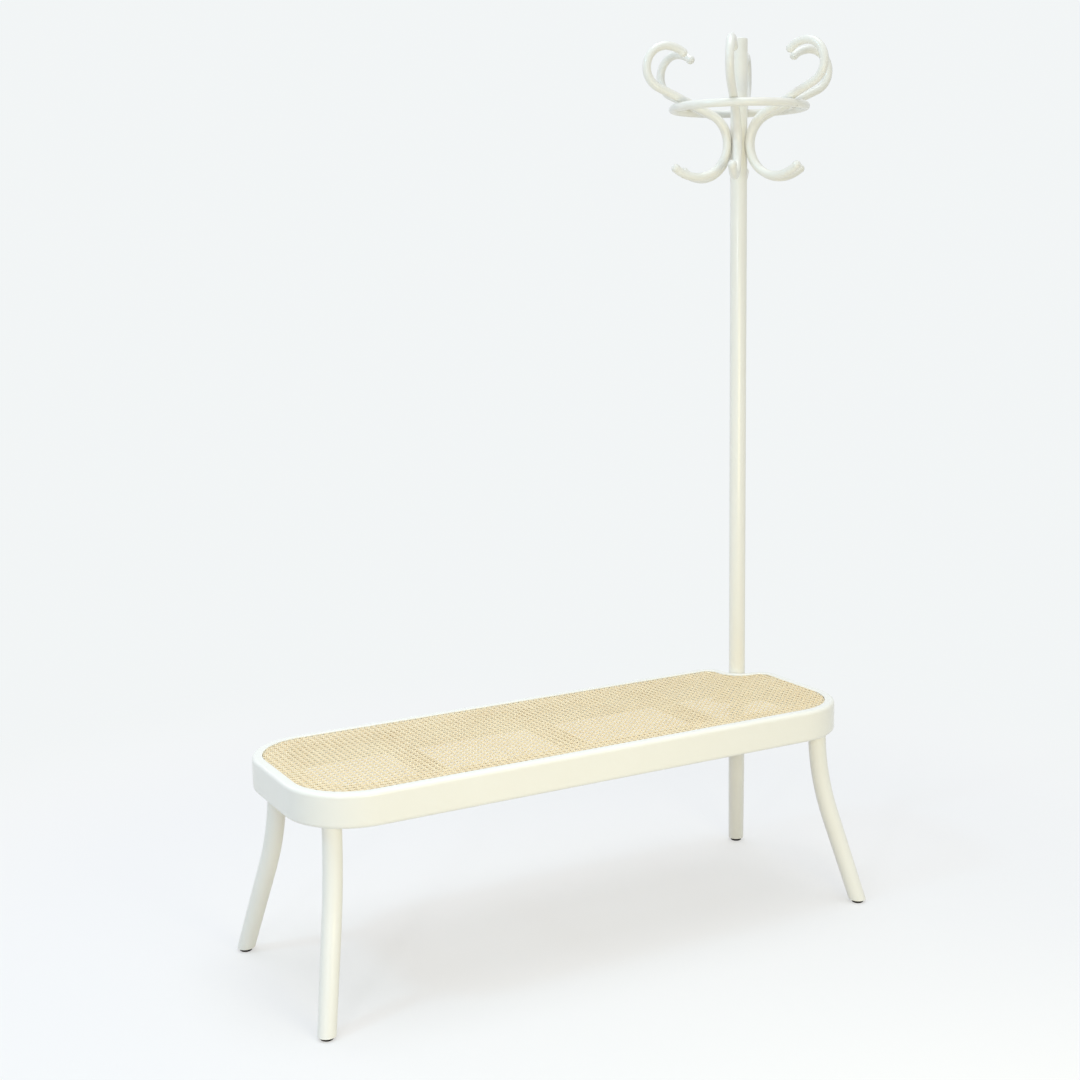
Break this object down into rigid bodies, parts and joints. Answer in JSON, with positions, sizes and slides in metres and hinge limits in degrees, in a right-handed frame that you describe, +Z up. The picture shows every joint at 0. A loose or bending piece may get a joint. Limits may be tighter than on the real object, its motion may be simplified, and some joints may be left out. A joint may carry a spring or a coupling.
{
  "type": "coat rack bench",
  "caption": "Bench with a cane seat in a bent hoop; its rear right leg runs up as a tall pole with bent coat hooks tied by a ring.",
  "frame": {"origin": "on the floor, under the middle of the part's whole box", "axes": "+X along the bench to the pole's end, -Y to the front, +Z up"},
  "size_m": [1.4314, 0.6117, 1.872],
  "materials": {
    "lacquer": "warm white satin lacquer on bent beech, the grain just showing in raking light",
    "cane": "natural pale straw cane in the common open octagonal weave, satin skin",
    "inner_wood": "bare beech, sanded",
    "glide": "dark brown matt plastic",
    "steel": "zinc plated steel",
    "brass": "yellow zinc plated steel and brass"
  },
  "bodies": {
    "root": {"seat_rail": "lacquer", "panel_side_front": "inner_wood", "panel_side_rear": "inner_wood", "panel_end_left": "inner_wood", "panel_end_right": "inner_wood", "frame_dowels": "inner_wood", "cane_sheet": "cane", "batten_left": "inner_wood", "batten_middle": "inner_wood", "batten_right": "inner_wood", "batten_dowels": "inner_wood", "panel_screws": "brass", "corner_block_front_left": "inner_wood", "corner_block_front_right": "inner_wood", "corner_block_rear_left": "inner_wood", "pole_block": "inner_wood", "block_screws": "brass", "leg_front_left": "lacquer", "leg_front_right": "lacquer", "leg_rear_left": "lacquer", "leg_bolts": "steel", "rack_pole": "lacquer", "pole_bolts": "steel", "pole_inserts": "brass", "bolt_washers": "steel", "glide_front_left": "glide", "glide_front_right": "glide", "glide_rear_left": "glide", "glide_rear_right": "glide", "glide_nails": "steel", "coat_hook_1": "lacquer", "coat_hook_2": "lacquer", "coat_hook_3": "lacquer", "coat_hook_4": "lacquer", "coat_hook_5": "lacquer", "coat_hook_6": "lacquer", "hook_screws": "steel", "hook_ring": "lacquer", "ring_screws": "brass"}
  },
  "joints": []
}
